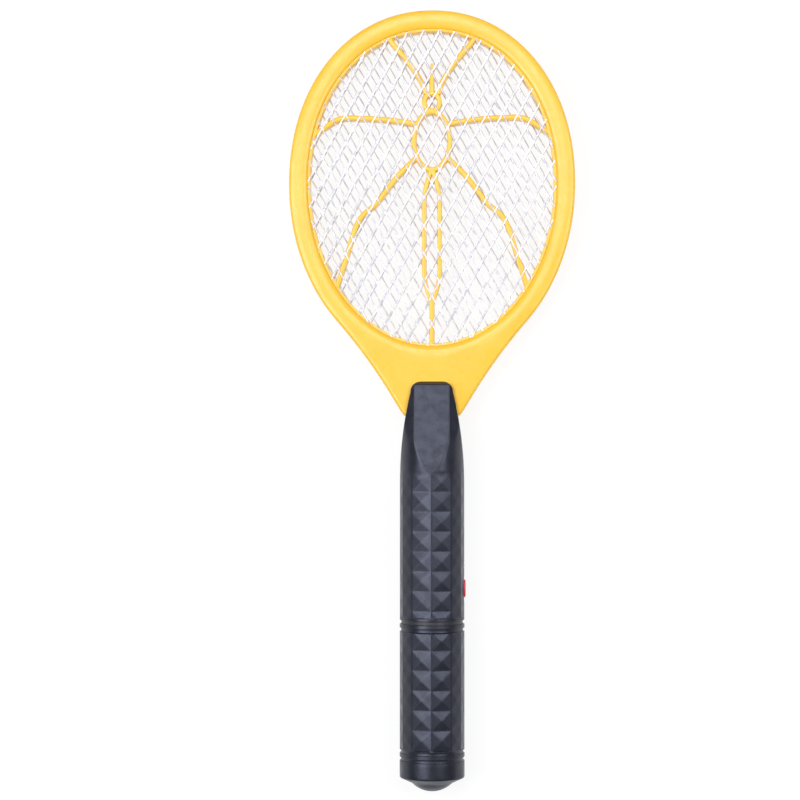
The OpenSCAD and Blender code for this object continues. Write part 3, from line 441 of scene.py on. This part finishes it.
# Grids. Three sheets of bright expanded metal, slit and stretched into diamonds, so the strands lean and
# join in short double knuckles. The outer two lie on the ledges and the middle one between the halves,
# offset by a quarter of a diamond. Their edges are cut straight through the strands.
SHORT, LONG = 8.85, 15.8


def strands(z, shift, sheet_side):
    """Strand k runs from a knuckle to the next one up, right or left. Along it the path leaves the knuckle
    straight up and swings over on a smooth step. Its section is a flat bar with chamfered edges that leans
    by an angle, which fades out at the knuckles. Ends outside the ledge are cut off."""
    i, j = np.meshgrid(np.arange(-18, 19), np.arange(-14, 15), indexing="ij")
    keep = (i + j) % 2 == 0
    start = np.stack([i[keep] * SHORT / 2 + shift[0], j[keep] * LONG / 2 + shift[1]], -1)
    start = np.concatenate([start, start])
    hand = np.repeat([1, -1], keep.sum())
    fine = np.linspace(0, 1, 97)

    def path(t):
        """x and y along each strand for t from 0 to 1, one row of t for each strand."""
        swing = t * t * (3 - 2 * t) * 0.35 + t * 0.65
        x = start[:, :1] + hand[:, None] * (0.25 + (SHORT / 2 - 0.5) * swing)
        return x, start[:, 1:] + LONG / 2 * t

    x, y = path(np.broadcast_to(fine, (len(start), 97)))
    within = np.hypot(x, y) < oval_radius(np.arctan2(y, x), 1.3)
    first, last = fine[within.argmax(1)], fine[96 - within[:, ::-1].argmax(1)]
    real = within.any(1) & (last - first > 0.04)
    start, hand, first, last = start[real], hand[real], first[real, None], last[real, None]
    t = first + (last - first) * np.linspace(0, 1, 8)
    x, y = path(t)
    ahead = path(np.minimum(t + 0.01, 1.01))
    back = path(t - 0.01)
    dx, dy = ahead[0] - back[0], ahead[1] - back[1]
    size = np.hypot(dx, dy)
    normal = np.stack([-dy / size, dx / size], -1)
    lean = np.full((len(hand), 1), sheet_side * np.radians(20)) * np.sin(np.pi * t.clip(0, 1)) ** 0.5
    bar = np.array([(-0.4, -0.12), (-0.3, -0.2), (0.3, -0.2), (0.4, -0.12),
                    (0.4, 0.12), (0.3, 0.2), (-0.3, 0.2), (-0.4, 0.12)])
    wide = bar[:, 0] * np.cos(lean)[..., None] - bar[:, 1] * np.sin(lean)[..., None]
    high = bar[:, 0] * np.sin(lean)[..., None] + bar[:, 1] * np.cos(lean)[..., None]
    rings = np.stack([x[..., None] + normal[..., :1] * wide,
                      y[..., None] + normal[..., 1:] * wide + HEAD_Y, z + high], -1)
    return [tube_of(r) for r in rings]


def knuckles(z, shift):
    """At each crossing a small flat plate with rounded ends, longer along the head than across it."""
    i, j = np.meshgrid(np.arange(-18, 19), np.arange(-14, 15), indexing="ij")
    keep = (i + j) % 2 == 0
    x, y = i[keep] * SHORT / 2 + shift[0], j[keep] * LONG / 2 + shift[1]
    inside = np.hypot(x, y) < oval_radius(np.arctan2(y, x), 0.4)
    t = np.linspace(0, 2 * np.pi, 10, endpoint=False)
    edge = np.stack([0.6 * np.cos(t), 1.2 * np.sin(t)], -1)
    forms = []
    for cx, cy in zip(x[inside], y[inside] + HEAD_Y):
        rings = [np.c_[edge * s + (cx, cy), np.full(10, z + h)]
                 for s, h in ((0.8, -0.25), (1, -0.15), (1, 0.15), (0.8, 0.25))]
        forms.append(tube_of(np.stack(rings)))
    return forms


grid_finish = Finish("bright_expanded_metal", Metallic=0.6)
wear = grid_finish.noise(240, 3).rise(0.35, 0.7)
grid_finish.set(Base_Color=grid_finish.mix(wear, paint(228, 228, 234), paint(196, 197, 206)),
                Roughness=wear * 0.12 + 0.3)
OUTER_GRID_Z = 5.0
for name, node, z, shift, side in (("grid_front", "front_grid", OUTER_GRID_Z, (0, 0), 1),
                                   ("grid_centre", "centre_grid", 0.0, (2.2, 3.95), 1),
                                   ("grid_rear", "rear_grid", -OUTER_GRID_Z, (0, 0), -1)):
    forms = strands(z, np.array(shift), side) + knuckles(z, shift)
    fit(name, mesh_of(name, forms), grid_finish.material, "racket", [node])


# Handle. Two shells of semi-gloss black plastic, screwed together from behind, moulded all round in rows
# of low pyramids, and flattened at the head into a tongue over the front and the back of the neck.
HANDLE_R, RIDGE_R, APEX_R, ROW = 18.3, 18.25, 18.12, 11.1
NARROW, MIDDLE_EDGE = 26.35, 52.7
quarter = np.array([0, NARROW, MIDDLE_EDGE])
COLUMNS = np.radians(np.r_[quarter, 90, 180 - quarter[::-1], 180 + quarter[1:], 270, 360 - quarter[::-1]])


def softest(options, softness):
    """The least of several surfaces, with the edges between them rounded by softness."""
    low = np.min(options, 0)
    return low - softness * np.log(sum(np.exp((low - o) / softness) for o in options))


def round_angles(per_cell=24):
    """Angles round the handle that fall on the edges and the middles of the columns of pyramids."""
    return np.concatenate([np.linspace(a, b, per_cell, endpoint=False)
                           for a, b in zip(COLUMNS[:-1], COLUMNS[1:])])


def pyramids(angle, y, first_row):
    """The radius over the pyramids. In each column two flat faces slope down to the sides and two slope down
    along the handle, so a face is a plane, and the nearest plane along the ray is the surface."""
    v = (y - first_row) / ROW
    turn = angle % (2 * math.pi)
    k = (np.searchsorted(COLUMNS, turn, side="right") - 1).clip(0, len(COLUMNS) - 2)
    options = []
    for shift in (-1, 0, 1):
        n = (k + shift) % (len(COLUMNS) - 1)
        half, middle = (COLUMNS[n + 1] - COLUMNS[n]) / 2, (COLUMNS[n + 1] + COLUMNS[n]) / 2
        reach, valley = RIDGE_R * np.sin(half), APEX_R - RIDGE_R * np.cos(half)
        away = (turn - middle + math.pi) % (2 * math.pi) - math.pi
        options.append(APEX_R / (np.cos(away) + valley / reach * np.abs(np.sin(away))))
        options.append((APEX_R - valley * np.abs(2 * (v - np.floor(v)) - 1)) / np.cos(away))
    return softest(np.array(np.broadcast_arrays(*options)), 0.03)


def ease(x, low, high):
    """0 below low and 1 above high, with a smooth step between."""
    t = ((x - low) / (high - low)).clip(0, 1)
    return t * t * (3 - 2 * t)


BUTTON_Y, LAMP_Y = 114.0, 127
CORNER_R = 6
CORNER_Y = HANDLE_LEN - CORNER_R


def tongue_limits(angle, y, inset=0.0):
    """How far a ray may go before it leaves the tongue: its sides seen from the front, its sloping top,
    the bevels along the top, and the steep end."""
    c, s = np.abs(np.cos(angle)) + 1e-6, np.abs(np.sin(angle)) + 1e-6
    bow = HANDLE_R - 0.00216 * (y - 170.5).clip(0) ** 2
    corner = 6 + np.sqrt((CORNER_R ** 2 - (y - CORNER_Y).clip(0) ** 2).clip(0))
    plan = np.where(y > CORNER_Y, corner, bow) - inset
    slope, slope_y = 0.162, 178
    top = HANDLE_R - slope * (y - slope_y) - inset
    lie, panel_half_w = math.radians(37.6), 9.9
    bevel = (panel_half_w * math.sin(lie) + top * math.cos(lie)) / (math.sin(lie) * c + math.cos(lie) * s)
    end_z, end_slope = 6.9, 1.9
    end = end_z + (HANDLE_LEN - y) * end_slope
    return [plan / c, top / s, bevel, end / s]


def a_from_side(angle):
    """The angle from the button's side, -pi to pi."""
    return (angle + math.pi) % (2 * math.pi) - math.pi


def handle_blank(y_rows, angles, inset=None):
    """The handle from row to row as a closed form. Without an inset it has its pyramids, which fade out at
    the plain lip next to the cover and round the button. With an inset it is the smooth hollow inside."""
    y, a = y_rows[:, None], angles[None, :]
    if inset is None:
        r = pyramids(a, y, 102.0)
        to_button = np.hypot(a_from_side(a) * 18.2, (np.abs(y - BUTTON_Y) - 2).clip(0))
        lip_end, lip_top = 97.9, 98.3
        plain = np.maximum(1 - ease(y, lip_end, lip_top), ease(y, 175, 181))
        plain = np.maximum(plain, 1 - ease(to_button, 4.2, 6.2))
        r = r + (np.where(y < lip_top, RIDGE_R, 18.1) - r) * plain
        r = softest(np.array(np.broadcast_arrays(r, *tongue_limits(a, y))), 0.12)
        r = np.where(y < 97, r - 0.25 * (1 - ease(y, 96.3, 96.6)), r)
    else:
        r = np.minimum.reduce(np.broadcast_arrays(HANDLE_R - inset + 0 * y, *tongue_limits(a, y, inset)[:2]))
    rings = np.stack([r * np.cos(a), y + 0 * a, r * np.sin(a)], -1)
    return tube_of(rings)


def block(x0, x1, y0, y1, z0, z1):
    """A plain box, for a cut or a plate."""
    ring = np.array([(x0, y0, 0), (x1, y0, 0), (x1, y1, 0), (x0, y1, 0)], float)
    return tube_of(np.stack([ring + (0, 0, z0), ring + (0, 0, z1)]))


def stadium(length, width, count=48):
    """An outline with two straight sides and two round ends, as points (along, across)."""
    t = np.linspace(0, 2 * np.pi, count, endpoint=False) + np.pi / count
    return np.stack([width / 2 * np.cos(t) + np.sign(np.cos(t)) * (length - width) / 2,
                     width / 2 * np.sin(t)], -1)


def side_plug(outline, y, levels):
    """A form that stands out along +X from the handle's axis. Each level is (x, inset), and the outline is
    drawn in by the inset."""
    along, over = outline[:, 0], outline[:, 1]
    rings = [np.stack([np.full(len(outline), x), y + along - np.sign(along) * d,
                       over * (1 - d / np.abs(over).max())], -1) for x, d in levels]
    return tube_of(np.stack(rings))


def side_drum(y, x0, x1, radius, sides=32):
    """A drum that stands out along +X from the handle's axis."""
    t = np.linspace(0, 2 * np.pi, sides, endpoint=False)
    return tube_of(np.stack([np.stack([np.full(sides, x), y + radius * np.cos(t), radius * np.sin(t)], -1)
                             for x in (x0, x1)]))


lip_rows = [96.3, 96.45, 96.6, 97.0, 97.7, 97.9, 98.05, 98.2, 98.35, 98.6, 99.0, 99.5, 100.0]
grip_rows = np.arange(100.4, CORNER_Y - 0.2, ROW / 24)
corner_rows = CORNER_Y + CORNER_R * np.sin(np.radians(np.linspace(0, 90, 22)))
rows = np.r_[lip_rows, grip_rows, corner_rows]
handle_black = moulded("grip_black", paint(30, 31, 41), paint(23, 24, 32), 0.32, 0.42, 0.00003,
                       Specular_IOR_Level=0.62, Specular_Tint=(0.72, 0.77, 1, 1))
neck_room = block(-40, 40, 211, 240, -6.6, 6.6)
window = side_plug(stadium(10.5, 6.5), BUTTON_Y, ((9, 0), (30, 0)))
lamp_hole = side_drum(LAMP_Y, 9, 30, 1.6)
hollow = handle_blank(np.arange(90, 186, 5.0), np.linspace(0, 2 * np.pi, 96, endpoint=False), 2.0)
recesses = [drum(x, y, -25, -11, 2.75) for x, y in ((0, 101.15), (0, 177.5), (-9.8, 203), (9.8, 203))]
side_cuts = [[hollow], [neck_room], [window], [lamp_hole]]
for name, node, z0, z1, cuts in (("handle_front", "front_shell", 0, 30, side_cuts),
                                 ("handle_rear", "rear_shell", -30, 0, side_cuts + [recesses])):
    blank = mesh_of("blank", [handle_blank(rows, round_angles())])
    half = mesh_of("half", [block(-40, 40, 90, 240, z0, z1)])
    shell = carved(blank, [mesh_of("cut", c) for c in cuts], [half])
    fit(name, shell, handle_black, "racket", [node], 24)


# Battery cover. A sleeve of the same black plastic with the same pyramids, two grooves at each end, and
# a butt that closes in a cone and a shallow dome. It slides off over the carrier.
GROOVE_R, BORE_R, COVER_LEN = 17.5, 16.5, 94.3


def cover_form():
    """Rows along the sleeve from the dome's tip to the lip and back inside. Each row is (y, radius), and
    where the radius is left out it comes from the pyramids."""
    dome_r, dome_h = 11.6, 5
    cap_r = (dome_r ** 2 + dome_h ** 2) / (2 * dome_h)
    cap = math.asin(dome_r / cap_r)
    rows = [(cap_r * (1 - math.cos(a)), cap_r * math.sin(a)) for a in np.linspace(0.03, cap * 0.97, 14)]
    rows += [(5.15, 12.0), (7.7, 17.5), (7.95, 17.95), (8.3, 18.2), (8.8, 18.28), (9.4, HANDLE_R)]
    rows += [(y, HANDLE_R) for y in (11, 13, 15, 17.2)]
    for groove in (17.6, 21.8):
        rows += [(groove + along, r) for along, r in
                 ((-0.2, 18.28), (0, 18.15), (0.05, 17.9), (0.12, 17.55), (0.35, GROOVE_R), (1.65, GROOVE_R),
                  (1.88, 17.55), (1.95, 17.9), (2.0, 18.15), (2.2, 18.28))]
    rows += [(y, None) for y in np.linspace(24.1, 90.0, 144)]
    rows += [(90.1, 18.0), (90.15, 17.8), (90.22, 17.55), (90.45, GROOVE_R), (91.75, GROOVE_R), (91.98, 17.55),
             (92.05, 17.9), (92.1, 18.15), (92.3, 18.28), (93.2, HANDLE_R), (94.0, 18.28), (94.2, 18.18),
             (COVER_LEN, 18.0), (COVER_LEN, 16.75), (94.1, BORE_R), (60, BORE_R), (14, BORE_R), (12.3, 16.2),
             (12, 15.5), (12, 0.5)]
    a = round_angles()
    rings = []
    for y, r in rows:
        if r is None:
            r = pyramids(a, np.array([y]), 24.6)
            r = r + (RIDGE_R - r) * max(1 - ease(y, 24.1, 24.5), ease(y, 89.6, 89.95))
        rings.append(np.stack([r * np.cos(a), np.full(len(a), y), r * np.sin(a)], -1))
    return tube_of(np.stack(rings))


fit("battery_sleeve", mesh_of("battery_sleeve", [cover_form()]), handle_black, "cover",
    ["battery_cover"], 24)


# Push button. A red cap of moulded plastic, with a slightly domed face and rounded edges, a flange behind
# the shell's wall that keeps it in, and a stem that reaches the switch.
button_red = moulded("button_red", paint(222, 52, 66), paint(205, 38, 54), 0.28, 0.4, 0.00001, Coat_Weight=0.2)
cap_levels = [(14.8, 0.0), (18.2, 0.0), (18.5, 0.04), (18.7, 0.16), (18.84, 0.4), (18.9, 0.7), (18.94, 1.2),
              (18.96, 1.9), (18.97, 2.6)]
flange_levels = [(14.245, 0.1), (14.345, 0), (15.345, 0), (15.445, 0.1)]
button_forms = [side_plug(stadium(10, 6), BUTTON_Y, cap_levels),
                side_plug(stadium(13.2, 8.4), BUTTON_Y, flange_levels), side_drum(BUTTON_Y, 12.845, 15, 2)]
fit("red_button", mesh_of("red_button", button_forms), button_red, "button", ["push_button"])


# Cells and their contacts. Two plain AA cells with a film jacket, crimped over the steel can at both ends,
# between nickel plates and cone springs of round wire.
def turned(profile, axis_x, y0, direction, sides=64):
    """A turned form: a profile of (distance along, radius) spun round an axis along the handle."""
    t = np.linspace(0, 2 * np.pi, sides, endpoint=False)
    rings = [np.stack([axis_x + r * np.cos(t), np.full(sides, y0 + direction * d), r * np.sin(t)], -1)
             for d, r in profile]
    return tube_of(np.stack(rings))


def wire(path, radius, sides=12):
    """A round wire along a path. Each ring stands square to the path, its first direction near to +Y."""
    p = np.asarray(path, float)
    along = np.gradient(p, axis=0)
    along /= np.linalg.norm(along, axis=1)[:, None]
    first = np.array([0, 1.0, 0]) - along * along[:, 1:2]
    first /= np.linalg.norm(first, axis=1)[:, None]
    second = np.cross(along, first)
    t = np.linspace(0, 2 * np.pi, sides, endpoint=False)[None, :, None]
    return tube_of(p[:, None] + radius * (first[:, None] * np.cos(t) + second[:, None] * np.sin(t)))


BAY_Y0, BAY_Y1, CELL_X = 14.8, 70.1, 7.9
jacket = Finish("cell_jacket", Coat_Weight=0.4, Coat_Roughness=0.1)
scuff = jacket.noise(220, 4).rise(0.4, 0.75)
jacket.set(Base_Color=jacket.mix(scuff, paint(38, 92, 150), paint(30, 76, 132)), Roughness=scuff * 0.15 + 0.25)
nickel = Finish("nickel_plate", Metallic=1.0)
tarnish = nickel.noise(300, 3).rise(0.3, 0.75)
nickel.set(Base_Color=nickel.mix(tarnish, paint(214, 210, 202), paint(182, 178, 170)),
           Roughness=tarnish * 0.2 + 0.2)
nickel.set(Normal=nickel.bump(nickel.noise(1800, 2), 0.00001))
jacket_profile = [(0.35, 6.5), (0.3, 6.9), (0.4, 7.15), (0.7, 7.25), (48.5, 7.25), (48.8, 7.15), (48.9, 6.9),
                  (48.85, 6.4)]
can_profile = [(0.0, 3.0), (0.0, 5.8), (0.12, 6.2), (0.4, 6.55), (48.6, 6.55), (48.95, 6.2), (49.1, 5.6),
               (49.2, 5.0), (49.2, 2.9), (49.25, 2.75), (49.4, 2.7), (50.2, 2.7), (50.4, 2.6), (50.5, 2.4),
               (50.5, 0.4)]
for name, node, x, y0, direction in (("cell_left", "battery_left", -CELL_X, BAY_Y0 + 50.9, -1),
                                     ("cell_right", "battery_right", CELL_X, BAY_Y0 + 4.4, 1)):
    cell_jacket = mesh_of(name, [turned(jacket_profile, x, y0, direction)])
    cell_can = mesh_of(name, [turned(can_profile, x, y0, direction)])
    fit(name, cell_jacket, jacket.material, "racket", [node])
    fit(name + "_can", cell_can, nickel.material, "racket")

turn = np.linspace(0, 6 * np.pi, 110)
share = turn / turn[-1]
coil_r = 4.4 - 1.8 * share
coil = np.stack([coil_r * np.cos(turn), 0.35 + 3.3 * (share * 1.15).clip(0, 1), coil_r * np.sin(turn)], -1)
PLATE_T, SPRING_R = 0.4, 0.35
spring_left = wire(coil * (1, -1, 1) + (-CELL_X, BAY_Y1 - PLATE_T, 0), SPRING_R)
spring_right = wire(coil + (CELL_X, BAY_Y0 + PLATE_T, 0), SPRING_R)
plate_left = block(-CELL_X - 5, -CELL_X + 5, BAY_Y1 - PLATE_T, BAY_Y1, -4.5, 4.5)
tab_left = block(-CELL_X - 1.5, -CELL_X + 1.5, BAY_Y1 - PLATE_T, BAY_Y1 + 5.6, -0.2, 0.2)
plate_bridge = block(-CELL_X - 4.5, CELL_X + 4.5, BAY_Y0, BAY_Y0 + PLATE_T, -4, 4)
for name, node, forms in (("contact_spring_left", "spring_contact", [spring_left, plate_left, tab_left]),
                          ("contact_bridge", "bridge_contact", [spring_right, plate_bridge])):
    fit(name, mesh_of(name, forms), nickel.material, "racket", [node])


# Everything that keeps its own shape: the carrier, the screws, the flat contact, the board with its parts,
# the lamp and the wires. Each gets the finish of what it is made of.
def metal(name, light, dark, rough, stretch=(1, 1, 1)):
    """A bare metal: streaks between two shades, which may be stretched, that are also a little rougher."""
    f = Finish(name, Metallic=1.0)
    streak = f.noise(420, 3, stretch).rise(0.3, 0.7)
    f.set(Base_Color=f.mix(streak, light, dark), Roughness=streak * 0.18 + rough,
          Normal=f.bump(f.noise(2200, 2, stretch), 0.00001))
    return f.material


zinc = metal("zinc_plated_steel", paint(206, 206, 208), paint(176, 178, 184), 0.28)
epoxy_black = moulded("moulded_epoxy", paint(50, 50, 52), paint(38, 38, 40), 0.4, 0.6, 0.00002)
carrier_black = moulded("carrier_black", paint(48, 48, 54), paint(38, 38, 44), 0.38, 0.55, 0.00003)
board_green = moulded("solder_mask_green", paint(38, 112, 66), paint(28, 92, 52),
                      0.25, 0.4, 0.00002, Coat_Weight=0.3)
ferrite = moulded("sintered_ferrite", paint(84, 84, 88), paint(64, 64, 70), 0.6, 0.8, 0.00004)
bobbin = moulded("bobbin_nylon", paint(226, 220, 198), paint(210, 204, 182), 0.4, 0.6, 0.00002)
copper = metal("enamelled_copper", paint(190, 108, 60), paint(160, 82, 44), 0.3, (1, 1, 14))
capacitor = moulded("dipped_brown", paint(176, 96, 58), paint(150, 76, 44), 0.2, 0.35, 0.00003, Coat_Weight=0.5)
resistor = moulded("lacquer_tan", paint(220, 196, 150), paint(200, 174, 128),
                   0.25, 0.4, 0.00002, Coat_Weight=0.3)
nylon_white = moulded("plunger_white", paint(224, 222, 214), paint(208, 206, 198), 0.4, 0.55, 0.00001)
lens_red = moulded("lamp_red", paint(206, 30, 40), paint(180, 20, 30), 0.1, 0.18, 0.00001, Coat_Weight=0.8)
pvc_red = moulded("wire_red", paint(196, 40, 40), paint(176, 30, 32), 0.35, 0.5, 0.00002)
pvc_black = moulded("wire_black", paint(46, 46, 48), paint(34, 34, 36), 0.35, 0.5, 0.00002)
for finish, nodes in ((zinc, ("frame_screws", "shell_screws", "neck_screws", "board_screws")),
                      (nickel.material, ("flat_contact",)),
                      (carrier_black, ("battery_carrier",)),
                      (nylon_white, ("switch_plunger",)),
                      (epoxy_black, ("switch_body", "transistor", "rectifier_diodes")),
                      (board_green, ("circuit_board",)),
                      (ferrite, ("transformer_core",)),
                      (bobbin, ("transformer_bobbin",)),
                      (copper, ("transformer_winding",)),
                      (capacitor, ("doubler_capacitors", "output_capacitor")),
                      (resistor, ("resistors",)),
                      (lens_red, ("indicator_lamp",)),
                      (pvc_red, ("centre_grid_lead", "positive_lead")),
                      (pvc_black, ("front_grid_lead", "rear_grid_lead", "negative_lead"))):
    for node in nodes:
        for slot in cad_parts[node].material_slots:
            slot.material = finish
